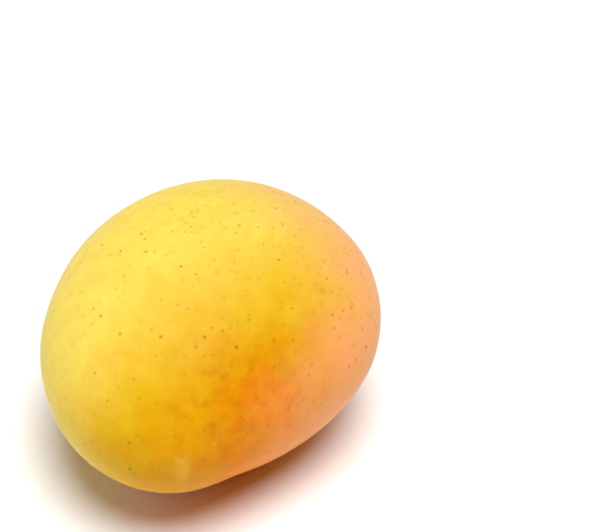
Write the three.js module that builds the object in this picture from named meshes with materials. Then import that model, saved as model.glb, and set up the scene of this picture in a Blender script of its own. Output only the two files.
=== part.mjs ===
// A whole ripe mango, lying on one of its two flatter cheeks.
//
// Millimetres, +Z up. +X runs along the fruit to its stem end, and +Y to its full back, so the side
// with the sinus, the slight hollow beside the beak, faces -Y. The origin is on the surface that the
// fruit lies on, under the middle of its length and width.
//
// The fruit grew as one piece, so it is one closed solid. A globe of directions is spread from the
// stem scar to the beak, and each direction is pushed out to the radius that the fruit has there.

import * as THREE from 'three';
import { mergeVertices } from 'three/addons/utils/BufferGeometryUtils.js';

// ---- The body: an ellipsoid, a little fuller towards the stem

const HALF_LENGTH = 55;
const HALF_WIDTH = 45.3;
const HALF_THICKNESS = 38.8;
const STEM_END_FULLNESS = 0.07; // share added to the girth at the stem end, and taken off at the tip

// ---- Directions on the fruit, in degrees
// lon turns from the stem end (0) over the back (90) to the tip (180) and up the sinus side (270).
// lat climbs from the widest line (0) to the middle of the upper cheek (90).

const STEM = { lon: 8, lat: 0 };
const BEAK = { lon: 206, lat: 3 };

// ---- Swells and hollows on the body
// rise is how far the skin stands out at the middle, in mm, and is negative in a hollow. spread is the
// angle from the middle, in degrees, at which a third of the rise is left.

const SWELLS = [
  { name: 'back shoulder', lon: 40, lat: 0, spread: 35, rise: -0.9 },
  { name: 'back of the tip', lon: 160, lat: 0, spread: 30, rise: -1 },
  { name: 'nose', lon: 205, lat: -5, spread: 25, rise: 3.9 },
  { name: 'beak', ...BEAK, spread: 4, rise: 0.7 },
  { name: 'sinus', lon: 226, lat: -26, spread: 14, rise: -1.2 },
  { name: 'belly of the sinus side', lon: 285, lat: 8, spread: 35, rise: 4.3 },
  { name: 'shoulder of the sinus side', lon: 325, lat: 0, spread: 30, rise: 2 },
  { name: 'lower cheek', lon: 180, lat: -75, spread: 40, rise: 1 },
  { name: 'stem cavity', ...STEM, spread: 10, rise: -3.2 },
];

// ---- The stem scar: a corky button on the floor of the stem cavity, with a pit in its middle

const SCAR_RADIUS = 3.4;
const SCAR_RISE = 0.9;
const SCAR_EDGE = 0.8; // width of the slope round the button
const PIT_RADIUS = 1.1;
const PIT_DEPTH = 0.5;

// ---- The flat spot that the fruit lies on

const FLAT_SPOT_DEPTH = 1; // how far the lowest point is pressed in

// ---- The mesh

const MERIDIANS = 80;
const RINGS = 54;
const CROWDING = 0.5; // share by which rings stand closer at both ends than evenly spread ones
const STEM_CROWDING = 0.25; // share more at the stem end, and less at the tip

const GLOBE_POLE = new THREE.Vector3(0, 1, 0);

function unitVector({ lon, lat }) {
  const turn = THREE.MathUtils.degToRad(lon);
  const climb = THREE.MathUtils.degToRad(lat);
  const level = Math.cos(climb);
  return new THREE.Vector3(level * Math.cos(turn), level * Math.sin(turn), Math.sin(climb));
}

const stem = unitVector(STEM);
const beak = unitVector(BEAK);
const swells = SWELLS.map(({ spread, rise, ...place }) => ({
  middle: unitVector(place),
  spread: THREE.MathUtils.degToRad(spread),
  rise,
}));

function bodyRadius(direction) {
  const girth = 1 + STEM_END_FULLNESS * direction.x;
  const along = direction.x / HALF_LENGTH;
  const across = direction.y / (HALF_WIDTH * girth);
  const up = direction.z / (HALF_THICKNESS * girth);
  return 1 / Math.hypot(along, across, up);
}

function swellRise(direction, { middle, spread, rise }) {
  return rise * Math.exp(-((direction.angleTo(middle) / spread) ** 2));
}

function stemScarRise(direction) {
  const fromStem = direction.angleTo(stem) * HALF_LENGTH;
  const button = 1 - THREE.MathUtils.smoothstep(fromStem, SCAR_RADIUS - SCAR_EDGE, SCAR_RADIUS);
  const pit = 1 - THREE.MathUtils.smoothstep(fromStem, 0, PIT_RADIUS);
  return SCAR_RISE * button - PIT_DEPTH * pit;
}

function fruitRadius(direction) {
  const swelling = swells.reduce((sum, swell) => sum + swellRise(direction, swell), 0);
  return bodyRadius(direction) + swelling + stemScarRise(direction);
}

/** How far from the stem towards the tip a ring stands, as a share, given its share of the count. */
function ringPlace(share) {
  const bothEnds = (CROWDING * Math.sin(2 * Math.PI * share)) / (2 * Math.PI);
  const stemEnd = (STEM_CROWDING * Math.sin(Math.PI * share)) / Math.PI;
  return share - bothEnds - stemEnd;
}

/** Turns a point of the even globe into a direction, with the poles at the stem scar and the beak. */
function spreadDirection(point) {
  const globe = new THREE.Spherical().setFromVector3(point);
  const place = ringPlace(globe.phi / Math.PI);
  globe.phi = Math.PI * place;
  const poleAtStem = new THREE.Quaternion().setFromUnitVectors(GLOBE_POLE, stem);
  const poleAtBeak = new THREE.Quaternion().setFromUnitVectors(GLOBE_POLE, beak.clone().negate());
  return new THREE.Vector3().setFromSpherical(globe).applyQuaternion(poleAtStem.slerp(poleAtBeak, place));
}

/** Lowers the fruit onto z = 0, pressing its lowest point flat, and centres it over the origin. */
function layDown(geometry) {
  geometry.computeBoundingBox();
  const { min, max } = geometry.boundingBox;
  geometry.translate(-(min.x + max.x) / 2, -(min.y + max.y) / 2, -(min.z + FLAT_SPOT_DEPTH));
  const position = geometry.attributes.position;
  for (let i = 0; i < position.count; i += 1) {
    position.setZ(i, Math.max(position.getZ(i), 0));
  }
}

function makeFruitGeometry() {
  const globe = new THREE.SphereGeometry(1, MERIDIANS, RINGS);
  globe.deleteAttribute('normal');
  globe.deleteAttribute('uv');
  const position = globe.attributes.position;
  for (let i = 0; i < position.count; i += 1) {
    const direction = spreadDirection(new THREE.Vector3().fromBufferAttribute(position, i));
    const point = direction.clone().multiplyScalar(fruitRadius(direction));
    position.setXYZ(i, point.x, point.y, point.z);
  }
  const geometry = mergeVertices(globe);
  layDown(geometry);
  geometry.computeVertexNormals();
  return geometry;
}

function makeMango() {
  const skin = new THREE.MeshStandardMaterial({ color: 0xf2b733, roughness: 0.5, metalness: 0 });
  const mango = new THREE.Mesh(makeFruitGeometry(), skin);
  mango.name = 'mango';
  return mango;
}

const part = new THREE.Group();
part.add(makeMango());

export default part;
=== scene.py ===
# %% [markdown]
# A ripe mango on a white table
#
# The fruit is one grown thing, so it is one piece here: a smooth skin that stands for the plain solid
# of the model. This first cell loads that solid as a fixed frame, in metres, with +Z up. Nothing in
# it is moved. The frame is selected after loading, so everything is deselected before modelling.

import math

import bpy
from mathutils import Matrix, Vector


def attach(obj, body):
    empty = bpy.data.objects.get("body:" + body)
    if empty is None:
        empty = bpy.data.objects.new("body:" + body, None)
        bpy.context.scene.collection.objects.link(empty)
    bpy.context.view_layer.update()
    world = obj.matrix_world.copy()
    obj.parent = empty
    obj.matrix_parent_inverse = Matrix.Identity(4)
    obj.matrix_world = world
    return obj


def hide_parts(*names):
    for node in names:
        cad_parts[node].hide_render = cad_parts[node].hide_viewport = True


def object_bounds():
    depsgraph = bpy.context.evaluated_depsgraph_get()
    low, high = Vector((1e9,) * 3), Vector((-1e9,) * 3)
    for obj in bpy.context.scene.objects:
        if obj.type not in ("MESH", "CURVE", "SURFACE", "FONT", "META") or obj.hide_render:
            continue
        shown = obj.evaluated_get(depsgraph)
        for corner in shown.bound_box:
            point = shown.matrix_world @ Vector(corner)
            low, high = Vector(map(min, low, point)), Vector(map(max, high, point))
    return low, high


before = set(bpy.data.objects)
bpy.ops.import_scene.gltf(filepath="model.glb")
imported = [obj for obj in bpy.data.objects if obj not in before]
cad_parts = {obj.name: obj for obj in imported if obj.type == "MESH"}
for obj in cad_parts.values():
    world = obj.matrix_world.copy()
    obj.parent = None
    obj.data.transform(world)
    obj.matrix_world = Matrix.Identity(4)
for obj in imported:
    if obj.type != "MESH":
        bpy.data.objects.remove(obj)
frame_low, frame_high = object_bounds()
bpy.ops.object.select_all(action="DESELECT")

MM = 0.001
FRUIT_NODE = "mango"
fruit_middle = (frame_low + frame_high) / 2
fruit_half = (frame_high - frame_low) / 2


def in_mm(place):
    return [round(side / MM, 1) for side in place]


print("fruit, mm:", in_mm(2 * fruit_half))

# %% [markdown]
# The camera
#
# The fruit is seen from above, from its beak end, with the stem end turned away to the right. The
# lens is aimed at a point on the table behind the fruit, which leaves the fruit in the lower left of
# the picture. A short lens close by could frame it as well, but it would swell the near end. A long
# lens from further off keeps the perspective mild.

# %% Camera
STEM_TURN = math.radians(61.16)  # how far the stem end is turned back from the picture's right
CAMERA_TILT = math.radians(38)  # how steeply the camera looks down
CAMERA_DISTANCE = 0.6823  # in metres, from the lens to the point it is aimed at
AIM_RIGHT = 0.0275  # the aim point, in metres from under the fruit's middle
AIM_BACK = 0.0829
LENS_MM = 122.4
SENSOR_MM = 36

# The picture's right, its depth and up, turned into the fruit's own axes.
picture_axes = Matrix.Rotation(-STEM_TURN, 3, "Z")


def add_camera():
    aim = picture_axes @ Vector((AIM_RIGHT, AIM_BACK, 0))
    back = Vector((0, -math.cos(CAMERA_TILT), math.sin(CAMERA_TILT)))
    place = aim + picture_axes @ back * CAMERA_DISTANCE
    bpy.ops.object.camera_add(location=place)
    camera = bpy.context.object
    camera.name = "main_camera"
    camera.rotation_euler = (aim - place).to_track_quat("-Z", "Y").to_euler()
    camera.data.lens = LENS_MM
    camera.data.sensor_width = SENSOR_MM
    return camera


main_camera = add_camera()
bpy.context.scene.camera = main_camera
print("camera at, mm:", in_mm(main_camera.location))

# %% [markdown]
# The table
#
# The fruit lies on a plain white table. One flat plane is enough for it, as long as no edge of it
# shows, and it is quite dull, so that it mirrors nothing. It is marked as stage, because it isn't
# part of the fruit.

# %% Table
TABLE_SIZE = 8.0
TABLE_WHITE = (0.94, 0.94, 0.94, 1)
TABLE_ROUGHNESS = 0.9


def add_table():
    bpy.ops.mesh.primitive_plane_add(size=TABLE_SIZE)
    table = bpy.context.object
    table.name = "table"
    paint = bpy.data.materials.new("white_table")
    paint.use_nodes = True
    shader = paint.node_tree.nodes["Principled BSDF"]
    shader.inputs["Base Color"].default_value = TABLE_WHITE
    shader.inputs["Roughness"].default_value = TABLE_ROUGHNESS
    shader.inputs["Specular IOR Level"].default_value = 0.0
    table.data.materials.append(paint)


add_table()
print("table made,", TABLE_SIZE, "m wide")

# %% [markdown]
# The lights
#
# A big softbox hangs over the table, a little to the front and right, and a wider one stands low on
# the left, a little behind the fruit. So the fruit is bright on top and on its left, and the shadow
# is short, soft and darkest under the near side. An area lamp could be each softbox, but it lights a
# table unevenly. A sun lamp with a very wide disc gives the same soft shadow in an even light.

# %% Lights
# A softbox's turn is counted from the picture's right towards its depth, and its height from level.
# The disc is how wide it looks from the fruit. All three are in degrees.
SOFTBOXES = [
    {"name": "overhead_softbox", "turn": -62, "height": 74, "disc": 36, "power": 3.75},
    {"name": "back_softbox", "turn": 162, "height": 15, "disc": 58, "power": 1.1},
]


def add_softbox(name, turn, height, disc, power):
    turn, height = math.radians(turn), math.radians(height)
    level = math.cos(height)
    towards = Vector((level * math.cos(turn), level * math.sin(turn), math.sin(height)))
    rotation = (picture_axes @ towards).to_track_quat("Z", "Y").to_euler()
    bpy.ops.object.light_add(type="SUN", rotation=rotation)
    light = bpy.context.object
    light.name = name
    light.data.energy = power
    light.data.angle = math.radians(disc)


for softbox in SOFTBOXES:
    add_softbox(**softbox)
print(len(SOFTBOXES), "softboxes made")

# %% [markdown]
# The room
#
# The room is pure white where the camera sees it and gives no light, because fill light from all
# round would wash out the warm shadow. A Light Path node tells the two apart: its camera ray output
# is 1 for what the camera sees and 0 for all other light. The Standard view shows white as white,
# where Blender's usual one would make it grey.

# %% Room
ROOM_WHITE = (1, 1, 1, 1)


def light_room():
    world = bpy.data.worlds.new("white_room")
    world.use_nodes = True
    bpy.context.scene.world = world
    nodes, links = world.node_tree.nodes, world.node_tree.links
    background = nodes["Background"]
    background.inputs["Color"].default_value = ROOM_WHITE
    rays = nodes.new("ShaderNodeLightPath")
    links.new(rays.outputs["Is Camera Ray"], background.inputs["Strength"])


light_room()
bpy.context.scene.view_settings.view_transform = "Standard"
print("room made, seen through the", bpy.context.scene.view_settings.view_transform, "view")

# %% [markdown]
# The skin's form
#
# The solid has the right form but flat facets. A skin could be shaped anew from a sphere, but a copy
# of the solid is sure to fit. Its triangles are loose, so they are merged, and then paired into
# four-sided faces, because those round more evenly when they are subdivided.

# %% Skin mesh
MERGE_DISTANCE = 0.01 * MM


def make_skin_mesh():
    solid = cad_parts[FRUIT_NODE]
    skin = bpy.data.objects.new("mango_skin", solid.data.copy())
    bpy.context.scene.collection.objects.link(skin)
    skin.data.materials.clear()
    bpy.ops.object.select_all(action="DESELECT")
    skin.select_set(True)
    bpy.context.view_layer.objects.active = skin
    bpy.ops.object.mode_set(mode="EDIT")
    bpy.ops.mesh.select_all(action="SELECT")
    bpy.ops.mesh.remove_doubles(threshold=MERGE_DISTANCE)
    bpy.ops.mesh.tris_convert_to_quads(face_threshold=math.pi, shape_threshold=math.pi)
    bpy.ops.object.mode_set(mode="OBJECT")
    return skin


mango_skin = make_skin_mesh()
print("merged:", len(mango_skin.data.vertices), "corners,", len(mango_skin.data.polygons), "faces")
print("four-sided:", sum(len(face.vertices) == 4 for face in mango_skin.data.polygons))

# %% [markdown]
# The two ends
#
# The stem scar and the beak are needed as places, because their relief and their colours are set
# round them. They could be typed in, but here they are read from the mesh, so they stay right if the
# solid changes: its rings close at these two corners, so the most faces meet there.

# %% Find the ends


def find_ends(mesh):
    """The two corners where the most faces meet, which are the beak and, towards +X, the stem scar."""
    faces_at = [0] * len(mesh.vertices)
    for face in mesh.polygons:
        for corner in face.vertices:
            faces_at[corner] += 1
    busiest = sorted(range(len(faces_at)), key=faces_at.__getitem__)[-2:]
    return sorted((mesh.vertices[corner].co.copy() for corner in busiest), key=lambda end: end.x)


beak, stem_scar = find_ends(mango_skin.data)
print("beak and stem scar, mm:", in_mm(beak), in_mm(stem_scar))

# %% [markdown]
# Rounding
#
# Bevels would only blunt the facets' edges. A Subdivision Surface modifier rounds the whole skin off
# and keeps it inside the solid. It also gives the mesh the small faces that the dents and the scars
# need, so it is applied.

# %% Rounding
SUBDIVISIONS = 2


def round_off(skin):
    rounding = skin.modifiers.new("rounding", "SUBSURF")
    rounding.levels = SUBDIVISIONS
    rounding.render_levels = SUBDIVISIONS
    bpy.ops.object.modifier_apply(modifier=rounding.name)
    bpy.ops.object.shade_smooth()


round_off(mango_skin)
print("skin:", len(mango_skin.data.polygons), "faces")

# %% [markdown]
# The uneven surface
#
# A real skin is never perfectly even. Two displacements make it so: broad shallow dents a few
# centimetres across, which bend the highlight, and a finer ripple a few millimetres across. Sculpting
# could make them too, but the clouds of a texture are the same each time. Both go inwards only, so
# the skin stays inside the solid, and both fade out at the flat spot that the fruit lies on. A
# Displace modifier moves each corner along its normal, and the weights of a vertex group say by how
# much of the full lift.

# %% Dents and ripple
UNEVEN = [
    {"name": "dents", "size": 22 * MM, "lift": 0.55 * MM},
    {"name": "ripple", "size": 5 * MM, "lift": 0.10 * MM},
]
FADE_HEIGHT = 8 * MM  # the unevenness reaches its full depth this high above the table
CLOUD_LAYERS = 1  # how many finer layers lie on the clouds; few keep them smooth


def smooth_fade(value, start, full):
    """0 at start and 1 at full, with a soft step between; start may be above full."""
    share = min(max((value - start) / (full - start), 0), 1)
    return share * share * (3 - 2 * share)


def weigh(piece, group_name, weight_at):
    group = piece.vertex_groups.new(name=group_name)
    for corner in piece.data.vertices:
        group.add([corner.index], weight_at(corner.co), "REPLACE")


def lift_skin(piece, name, group_name, lift, along="NORMAL", size=None):
    """Moves the skin outwards by lift, or inwards by up to lift in clouds of this size."""
    displace = piece.modifiers.new(name, "DISPLACE")
    displace.vertex_group = group_name
    displace.direction = along
    displace.strength = lift
    displace.mid_level = 0.0
    if size:
        clouds = bpy.data.textures.new(name, "CLOUDS")
        clouds.noise_scale = size
        clouds.noise_depth = CLOUD_LAYERS
        displace.texture = clouds
        displace.texture_coords = "LOCAL"
        displace.mid_level = 1.0
    bpy.ops.object.modifier_apply(modifier=name)


weigh(mango_skin, "above_table", lambda place: smooth_fade(place.z, 0, FADE_HEIGHT))
for layer in UNEVEN:
    lift_skin(mango_skin, group_name="above_table", **layer)
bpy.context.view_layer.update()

# %% [markdown]
# Even ends
#
# Where the rings close, the corners are crowded and no longer quite even, and a lift would draw that
# out into small ridges. So the skin is smoothed there first, close round each end. Remeshing it would
# even the corners out too, but it would lose the fine rings that carry the relief.

# %% Even ends
EVENED_REACH = 1.5 * MM
EVENED_SHARE = 0.5  # how far a corner moves each time towards the middle of its neighbours
EVENED_TIMES = 20


def even_out(piece, place):
    bpy.ops.object.mode_set(mode="EDIT")
    bpy.ops.mesh.select_mode(type="VERT")
    bpy.ops.mesh.select_all(action="DESELECT")
    bpy.ops.object.mode_set(mode="OBJECT")
    for corner in piece.data.vertices:
        corner.select = (corner.co - place).length < EVENED_REACH
    bpy.ops.object.mode_set(mode="EDIT")
    bpy.ops.mesh.vertices_smooth(factor=EVENED_SHARE, repeat=EVENED_TIMES)
    bpy.ops.object.mode_set(mode="OBJECT")


for end in (beak, stem_scar):
    even_out(mango_skin, end)
print("evened out within", EVENED_REACH / MM, "mm of both ends")

# %% [markdown]
# The stem end and the beak in relief
#
# The stem broke off and left a shallow dimple with a raised pad of rough cork in it, and a pit in the
# pad where the stem's core was. At the other end, the beak is a low knob, and the flower's style left
# a small hollow on it. The rings of the mesh are about a fifth of a millimetre apart round the scar and
# half a millimetre round the beak, which is fine enough to carry this. So the forms are in the mesh
# and not only in a bump, and each is one lift, weighted by the distance from its middle.

# %% Stem scar and beak relief
BEAK_KNOB = beak + Vector((0, 0, -5.0 * MM))
ROUND = Vector((1, 1, 1))
UPRIGHT = Vector((1, 1, 0.45))  # distances count for less up and down, so a form is drawn out that way
# The stem pointed along +X. Its forms are lifted that way, because the normals of corners so close
# together can cross.
STEM_FORM = {"place": stem_scar, "along": "X"}
# All sizes are in millimetres.
RELIEFS = [
    {"name": "dimple", "inner": 2.5, "outer": 13.0, "lift": -0.8, **STEM_FORM},
    {"name": "cork_pad", "inner": 2.8, "outer": 3.8, "lift": 0.55, **STEM_FORM},
    {"name": "core_pit", "inner": 0.4, "outer": 1.6, "lift": -0.9, **STEM_FORM},
    {"name": "grain", "inner": 2.6, "outer": 4.2, "lift": 0.45, "size": 0.8, **STEM_FORM},
    {"name": "knob", "place": BEAK_KNOB, "inner": 0.3, "outer": 4.0, "lift": 0.45, "shape": UPRIGHT},
    {"name": "style_hollow", "place": beak, "inner": 0.2, "outer": 1.4, "lift": -0.35},
]


def lift_round(piece, name, place, inner, outer, lift, shape=ROUND, along="NORMAL", size=None):
    """A lift that is full out to inner and gone at outer."""

    def weight_at(corner):
        distance = ((corner - place) * shape).length
        return smooth_fade(distance, outer * MM, inner * MM)

    weigh(piece, name, weight_at)
    cloud_size = size * MM if size else None
    lift_skin(piece, name, name, lift * MM, along, cloud_size)


for relief in RELIEFS:
    lift_round(mango_skin, **relief)
print(len(RELIEFS), "forms lifted at the ends")

# %% [markdown]
# The skin's material
#
# The colours of a skin can be painted on a picture or built from nodes. Nodes are used here, because
# they stay sharp from any distance and need no seam. Most of these helpers add one node and return
# its output, so that the cells after this one read like sums. All the patterns read Object
# coordinates, which don't slide when the fruit moves.

# %% Material helpers
skin_material = bpy.data.materials.new("mango_skin")
skin_material.use_nodes = True
tree = skin_material.node_tree
coordinates = tree.nodes.new("ShaderNodeTexCoord").outputs["Object"]


def wire(source, socket):
    """Sets a socket from another node's output, or to a plain value."""
    if isinstance(source, bpy.types.NodeSocket):
        tree.links.new(source, socket)
    else:
        socket.default_value = source


def math_node(operation, *values):
    node = tree.nodes.new("ShaderNodeMath")
    node.operation = operation
    for value, socket in zip(values, node.inputs):
        wire(value, socket)
    return node.outputs["Value"]


def between(share, low, high):
    """low where the share is 0 and high where it is 1."""
    return math_node("MULTIPLY_ADD", share, high - low, low)


def soft_step(value, start, full):
    """0 at start and 1 at full, with a soft step between; start may be above full."""
    node = tree.nodes.new("ShaderNodeMapRange")
    node.interpolation_type = "SMOOTHSTEP"
    wire(value, node.inputs["Value"])
    node.inputs["From Min"].default_value = start
    node.inputs["From Max"].default_value = full
    return node.outputs["Result"]


# A Mix node has sockets for each kind of value. These are the places of the ones for colours.
MIX_FACTOR = 0
MIX_BELOW = 6
MIX_ABOVE = 7
MIX_RESULT = 2


def paint_over(colour, amount, paint, blend="MIX"):
    """The colour, with a paint over it where the amount is 1."""
    node = tree.nodes.new("ShaderNodeMix")
    node.data_type = "RGBA"
    node.blend_type = blend
    wire(amount, node.inputs[MIX_FACTOR])
    wire(colour, node.inputs[MIX_BELOW])
    wire((*paint, 1), node.inputs[MIX_ABOVE])
    return node.outputs[MIX_RESULT]


print("material helpers ready, with", len(tree.nodes), "nodes so far")

# %% [markdown]
# Uneven edges
#
# No border on a fruit is even, so a noise is added to a value before a ramp or a step turns it into a
# border. It swings about zero, so it moves the border both ways, and an offset gives each use its own
# part of the noise. A picture of spots would repeat itself, but the noise doesn't.

# %% Noise
NOISE_ROUGHNESS = 0.55


def noise(size, reach, detail=3.0, offset=0.0):
    """A noise about zero, reaching about this far each way, in blobs of this size in metres."""
    place = tree.nodes.new("ShaderNodeMapping")
    wire(coordinates, place.inputs["Vector"])
    place.inputs["Location"].default_value = (offset, offset, offset)
    node = tree.nodes.new("ShaderNodeTexNoise")
    wire(place.outputs["Vector"], node.inputs["Vector"])
    node.inputs["Scale"].default_value = 1 / size
    node.inputs["Detail"].default_value = detail
    node.inputs["Roughness"].default_value = NOISE_ROUGHNESS
    return math_node("MULTIPLY", math_node("SUBTRACT", node.outputs["Fac"], 0.5), 2 * reach)


print("noise ready, with a roughness of", NOISE_ROUGHNESS)

# %% [markdown]
# Where a colour lies on the fruit
#
# A ripening mango colours in clouds: each colour is strongest in one direction from the middle of
# the fruit and fades away from it. So each of these masks starts as a direction. Object coordinates
# are centred and scaled by the fruit's half sizes, which turns it into a ball, and the dot product
# with a chosen direction is 1 at the middle of a cloud and falls off round it. Painted weights could
# hold the clouds as well, but a direction is three numbers that are easy to change.

# %% Directions


def direction_from_middle():
    ball = tree.nodes.new("ShaderNodeMapping")
    wire(coordinates, ball.inputs["Vector"])
    ball.inputs["Scale"].default_value = [1 / half for half in fruit_half]
    ball.inputs["Location"].default_value = [
        -middle / half for middle, half in zip(fruit_middle, fruit_half)
    ]
    unit = tree.nodes.new("ShaderNodeVectorMath")
    unit.operation = "NORMALIZE"
    wire(ball.outputs["Vector"], unit.inputs[0])
    return unit.outputs["Vector"]


skin_direction = direction_from_middle()


def facing(direction):
    """1 where the skin lies in this direction from the fruit's middle, and -1 opposite."""
    dot = tree.nodes.new("ShaderNodeVectorMath")
    dot.operation = "DOT_PRODUCT"
    wire(skin_direction, dot.inputs[0])
    wire(Vector(direction).normalized(), dot.inputs[1])
    return dot.outputs["Value"]


def on_side(direction, start, full):
    """0 up to where facing is start, and 1 from where it is full."""
    return soft_step(facing(direction), start, full)


print("directions ready, counted from the middle at, mm:", in_mm(fruit_middle))

# %% [markdown]
# The ground colour
#
# The ground colour runs from lemon over gold to orange, and one colour ramp holds it. Mixing one
# paint over another would do for two colours, but a ramp keeps seven in order. Its value is how near
# the skin is to the ripest spot, low on the side of the sinus beside the beak, and clouds and a finer
# mottle make the borders uneven. The lemon stops, on the top, hold some blue, which is a painted
# sheen of the light overhead, and the underside is painted deeper and darker, a painted shade.

# %% Ground colour
RIPEST = (-0.48, -0.88, -0.07)
# Away from the ripest spot, the back is riper than the skin between. The underside is painted deeper
# and darker orange, a painted shade, which also warms the shadow under the fruit.
RIPER_BACK_AND_SHADED_UNDERSIDE = [
    # Painted shade: the underside deeper and darker orange.
    {"side": {"direction": (0, 0, -1), "start": 0.35, "full": 0.95}, "deepening": 0.8},
    {"side": {"direction": (0.30, 0.95, -0.05), "start": 0.3, "full": 1.0}, "deepening": 1.35},
]
CLOUDS = {"size": 17 * MM, "reach": 0.22}
MOTTLE = {"size": 5 * MM, "reach": 0.12, "offset": 0.3}
GROUND_AND_SHEEN_COLOURS = [
    # The blue in the first stops, which lie on the top, is a painted sheen of the light overhead.
    {"nearness": 0.00, "colour": (0.875, 0.668, 0.102)},
    {"nearness": 0.30, "colour": (0.845, 0.560, 0.058)},
    {"nearness": 0.52, "colour": (0.785, 0.475, 0.011)},
    {"nearness": 0.68, "colour": (0.765, 0.392, 0.003)},
    {"nearness": 0.82, "colour": (0.765, 0.325, 0.002)},
    {"nearness": 0.92, "colour": (0.800, 0.262, 0.002)},
    {"nearness": 1.00, "colour": (0.875, 0.262, 0.002)},
]


def ground_colour_with_painted_light():
    unevenness = math_node("ADD", noise(**CLOUDS), noise(**MOTTLE))
    nearness = math_node("ADD", facing(RIPEST), unevenness)
    for deeper_side in RIPER_BACK_AND_SHADED_UNDERSIDE:
        nearness = math_node("MULTIPLY_ADD", on_side(**deeper_side["side"]), deeper_side["deepening"], nearness)
    ramp = tree.nodes.new("ShaderNodeValToRGB")
    wire(nearness, ramp.inputs["Fac"])
    stops = ramp.color_ramp.elements
    # A new ramp has its first and last stops already, at 0 and 1.
    for ground in GROUND_AND_SHEEN_COLOURS[1:-1]:
        stops.new(ground["nearness"])
    for stop, ground in zip(stops, GROUND_AND_SHEEN_COLOURS):
        stop.color = (*ground["colour"], 1)
    return ramp.outputs["Color"]


skin_colour = ground_colour_with_painted_light()
print("ground colour made, with", len(GROUND_AND_SHEEN_COLOURS), "stops")

# %% [markdown]
# Stains and blotches
#
# Beside the ripest spot the skin is stained with darker smudges, and everywhere it has blotches a few
# millimetres across, where it is a little thicker and darker. Mixing in a grey would dull the fruit,
# so both are multiplied in as warm tints, which keep the colour below them clear.

# %% Stains and blotches
STAINS = {"size": 4 * MM, "reach": 1.8, "detail": 4.0, "offset": 0.15}
STAIN_SHARE = 0.1  # added to the noise, so that more of it is above zero and shows
STAIN_TINT = (0.86, 0.70, 0.45)
STAINED_SIDE = {"direction": (-0.60, -0.72, 0.34), "start": 0.86, "full": 0.98}
BLOTCHES = {"size": 5 * MM, "reach": 0.9, "detail": 4.0, "offset": 0.45}
BLOTCH_SHARE = 0.35
BLOTCH_TINT = (0.91, 0.86, 0.72)

stains = math_node("MAXIMUM", math_node("ADD", noise(**STAINS), STAIN_SHARE), 0.0)
stains = math_node("MULTIPLY", stains, on_side(**STAINED_SIDE))
blotches = math_node("ADD", noise(**BLOTCHES), BLOTCH_SHARE)
skin_colour = paint_over(skin_colour, stains, STAIN_TINT, "MULTIPLY")
skin_colour = paint_over(skin_colour, blotches, BLOTCH_TINT, "MULTIPLY")
print("stains and blotches made,", STAINS["size"] / MM, "and", BLOTCHES["size"] / MM, "mm across")

# %% [markdown]
# The blushes
#
# A pink blush, a thin red in the skin, lies further round the ripe side, and a fainter one on the
# stem shoulder. The blush could be more stops of the ramp, but it has a place of its own. It is
# painted over the stains and blotches, because dark marks on top of it would look like bruises.

# %% Blushes
BLUSH = (0.99, 0.415, 0.160)
BLUSH_CLOUDS = {"size": 12 * MM, "reach": 0.2, "offset": 0.7}
BLUSHES = [
    {"direction": (0.48, -0.85, -0.22), "start": 0.25, "full": 1.07, "strength": 0.96},
    {"direction": (0.86, -0.31, 0.40), "start": 0.58, "full": 0.98, "strength": 0.50},
]


def blush_amount(direction, start, full, strength):
    nearness = math_node("ADD", facing(direction), noise(**BLUSH_CLOUDS))
    return math_node("MULTIPLY", soft_step(nearness, start, full), strength)


for blush in BLUSHES:
    skin_colour = paint_over(skin_colour, blush_amount(**blush), BLUSH)
print(len(BLUSHES), "blushes made")

# %% [markdown]
# Lenticels
#
# A mango breathes through lenticels, small corky dots. They could be modelled one by one, but there
# are thousands, so they are the cells of a Voronoi texture: the distance to a cell's point draws the
# dot, and the cell's random colour gives each dot its own size and darkness and leaves many out.
# There are three kinds: small dark dots, which are thickest on the upper side, larger faint ones that
# never opened, all over, and pale ones where the skin is ripest, which show because the skin round
# them has darkened.

# %% Lenticels
SPOTTED_SIDE = {"direction": (0.05, -0.45, 0.85), "start": 0.1, "full": 0.95}
RIPE_SIDE = {"direction": RIPEST, "start": 0.6, "full": 1.0}
# Spacing and radius are in millimetres. Fewest and most are the shares of the cells with a dot, off
# the side where the dots are thickest and on it.
DOTS = {"spacing": 3.0, "radius": 0.92, "core": 0.1, "fewest": 0.2, "most": 0.9}
FAINT_DOTS = {"spacing": 3.4, "radius": 1.6, "core": 0.0, "fewest": 0.6, "most": 0.9}
PALE_DOTS = {"spacing": 3.6, "radius": 1.1, "core": 0.0, "fewest": 0.04, "most": 0.6}
SMALLEST_DOT = 0.5  # as a share of the radius
WEAKEST_DOT = 0.25  # as a share of the tint
STRONGEST_DOT = 0.9


def dots(side, spacing, radius, core, fewest, most):
    """Dots with a soft edge, full out to core times their radius, as an amount from 0 to 1."""
    cells = tree.nodes.new("ShaderNodeTexVoronoi")
    wire(coordinates, cells.inputs["Vector"])
    cells.inputs["Scale"].default_value = 1 / (spacing * MM)
    draw = tree.nodes.new("ShaderNodeSeparateColor")
    wire(cells.outputs["Color"], draw.inputs["Color"])
    size, luck, darkness = (draw.outputs[name] for name in ("Red", "Green", "Blue"))
    reach = math_node("DIVIDE", cells.outputs["Distance"], between(size, SMALLEST_DOT, 1.0))
    dot = soft_step(reach, radius / spacing, core * radius / spacing)
    shown = math_node("LESS_THAN", luck, between(on_side(**side), fewest, most))
    strength = between(darkness, WEAKEST_DOT, STRONGEST_DOT)
    return math_node("MULTIPLY", math_node("MULTIPLY", dot, shown), strength)


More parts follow.
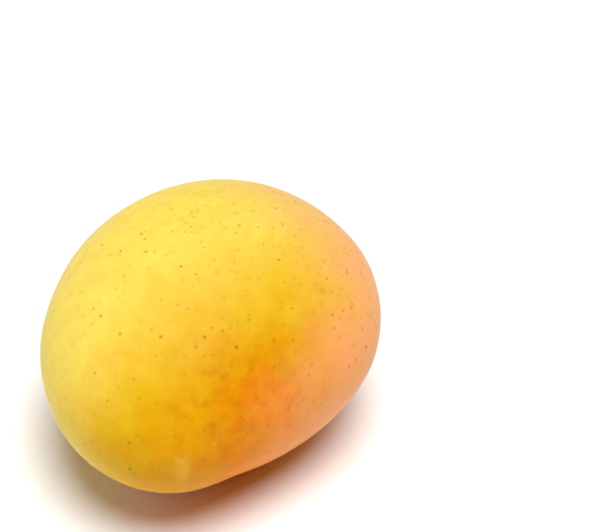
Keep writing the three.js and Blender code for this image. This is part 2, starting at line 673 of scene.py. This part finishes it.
lenticel_dots = dots(SPOTTED_SIDE, **DOTS)
faint_dots = dots(SPOTTED_SIDE, **FAINT_DOTS)
pale_dots = dots(RIPE_SIDE, **PALE_DOTS)
print("lenticels made, with a cell every", DOTS["spacing"], "mm")

# %% [markdown]
# The colours of the lenticels
#
# The dark and the faint dots darken the skin that they lie in, so they are multiplied in, and the
# pale ones are painted over it. The dark ones come last and are weaker at the ripest spot, where the
# skin itself is darker.

# %% Lenticel colours
FAINT_TINT = (0.86, 0.79, 0.55)
PALE_PAINT = (0.95, 0.52, 0.09)
PALE_STRENGTH = 0.5
DOT_TINT = (0.50, 0.38, 0.20)
RIPE_ZONE = {"direction": RIPEST, "start": 0.65, "full": 0.95}
RIPE_DOT_STRENGTH = 0.5  # of the dark dots, at the ripest spot

pale_amount = math_node("MULTIPLY", pale_dots, PALE_STRENGTH)
dark_strength = between(on_side(**RIPE_ZONE), 1.0, RIPE_DOT_STRENGTH)
dark_amount = math_node("MULTIPLY", lenticel_dots, dark_strength)
skin_colour = paint_over(skin_colour, faint_dots, FAINT_TINT, "MULTIPLY")
skin_colour = paint_over(skin_colour, pale_amount, PALE_PAINT)
skin_colour = paint_over(skin_colour, dark_amount, DOT_TINT, "MULTIPLY")
print("lenticels painted, down to", RIPE_DOT_STRENGTH, "of their strength at the ripest spot")

# %% [markdown]
# The scars
#
# The relief of both ends is in the mesh, and their colours are painted by the distance from the same
# places, so the two can't slip apart. The cork is grey-brown with dark grains and a darker edge, its
# pit is nearly black, and the skin round it stays a little green. The beak's knob is painted paler
# than the skin round it, a painted highlight where its bump catches the light, and the style's hollow
# is olive brown.

# %% Scars
# Inner and outer are in millimetres.
GREEN_SHOULDER = {"inner": 3.0, "outer": 17.0, "amount": 0.45, "paint": (0.62, 0.55, 0.05)}
CORK_EDGE = {"inner": 3.4, "outer": 4.4, "amount": 0.9, "paint": (0.16, 0.085, 0.03)}
CORK = {"inner": 2.6, "outer": 3.5, "amount": 0.9, "paint": (0.36, 0.22, 0.11)}
CORE_PIT = {"inner": 0.7, "outer": 1.7, "amount": 0.95, "paint": (0.06, 0.035, 0.02)}
# A painted highlight: paler skin where the beak's knob catches the light.
KNOB_HIGHLIGHT = {"inner": 0.6, "outer": 3.6, "amount": 0.6, "paint": (0.91, 0.46, 0.045)}
STYLE_DOT = {"inner": 0.2, "outer": 1.0, "amount": 0.45, "paint": (0.50, 0.27, 0.02)}
EDGE_WANDER = {"size": 2.5 * MM, "reach": 0.9 * MM, "offset": 0.2}
CORK_GRAIN = {"size": 0.9 * MM, "reach": 1.3, "offset": 0.6}
CORK_GRAIN_SHARE = 0.4
CORK_SHADE = (0.35, 0.28, 0.22)


def distance_from(place, shape):
    """The distance from a place, with an uneven edge."""
    away = tree.nodes.new("ShaderNodeMapping")
    wire(coordinates, away.inputs["Vector"])
    away.inputs["Scale"].default_value = shape
    away.inputs["Location"].default_value = -place * shape
    node = tree.nodes.new("ShaderNodeVectorMath")
    node.operation = "LENGTH"
    wire(away.outputs["Vector"], node.inputs[0])
    return math_node("ADD", node.outputs["Value"], noise(**EDGE_WANDER))


def near_spot(place, inner, outer, shape=ROUND):
    """1 out to inner and 0 from outer on."""
    return soft_step(distance_from(place, shape), outer * MM, inner * MM)


def paint_spot(colour, place, inner, outer, amount, paint, shape=ROUND):
    share = math_node("MULTIPLY", near_spot(place, inner, outer, shape), amount)
    return paint_over(colour, share, paint)


for mark in (GREEN_SHOULDER, CORK_EDGE, CORK):
    skin_colour = paint_spot(skin_colour, stem_scar, **mark)
cork_amount = near_spot(stem_scar, CORK_EDGE["inner"], CORK_EDGE["outer"])
cork_grain = math_node("ADD", noise(**CORK_GRAIN), CORK_GRAIN_SHARE)
cork_grain = math_node("MULTIPLY", cork_grain, cork_amount)
skin_colour = paint_over(skin_colour, cork_grain, CORK_SHADE, "MULTIPLY")
skin_colour = paint_spot(skin_colour, stem_scar, **CORE_PIT)
# Painted highlight on the beak's knob.
skin_colour = paint_spot(skin_colour, BEAK_KNOB, shape=UPRIGHT, **KNOB_HIGHLIGHT)
skin_colour = paint_spot(skin_colour, beak, **STYLE_DOT)
print("stem scar and beak painted")

# %% [markdown]
# Finish of the skin
#
# The skin is waxy but not polished, so its highlight is broad and weak, and the cork is quite dull. A
# plain surface would look like paint. So light goes a little way into the flesh, red the furthest,
# which keeps the shaded side warm, and a fine bump of pores breaks the highlight up. The dark
# lenticels lie a little lower than the skin between them.

# %% Finish
SKIN_FINISH = {
    "Specular IOR Level": 0.06,
    "Subsurface Weight": 0.2,
    "Subsurface Radius": (1.0, 0.4, 0.1),
    "Subsurface Scale": 4 * MM,
}
ROUGHNESS = 0.40
GLOSS = {"size": 6 * MM, "reach": 0.05, "offset": 0.9}
CORK_DULLNESS = 0.45  # how much rougher than the skin the cork is
PORES = {"size": 0.9 * MM, "reach": 0.5, "offset": 0.5}
PORE_DEPTH = 0.03 * MM


def skin_roughness():
    roughness = math_node("ADD", noise(**GLOSS), ROUGHNESS)
    return math_node("MULTIPLY_ADD", cork_amount, CORK_DULLNESS, roughness)


def pore_bump():
    bump = tree.nodes.new("ShaderNodeBump")
    bump.inputs["Distance"].default_value = PORE_DEPTH
    wire(math_node("SUBTRACT", noise(**PORES), lenticel_dots), bump.inputs["Height"])
    return bump.outputs["Normal"]


skin_shader = tree.nodes["Principled BSDF"]
for socket_name, value in SKIN_FINISH.items():
    wire(value, skin_shader.inputs[socket_name])
wire(skin_colour, skin_shader.inputs["Base Color"])
wire(skin_roughness(), skin_shader.inputs["Roughness"])
wire(pore_bump(), skin_shader.inputs["Normal"])
mango_skin.data.materials.append(skin_material)
print("skin material:", len(tree.nodes), "nodes")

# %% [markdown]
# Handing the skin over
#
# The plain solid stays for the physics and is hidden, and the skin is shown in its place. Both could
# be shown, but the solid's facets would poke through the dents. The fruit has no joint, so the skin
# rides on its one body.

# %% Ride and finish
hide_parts(FRUIT_NODE)
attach(mango_skin, "root")
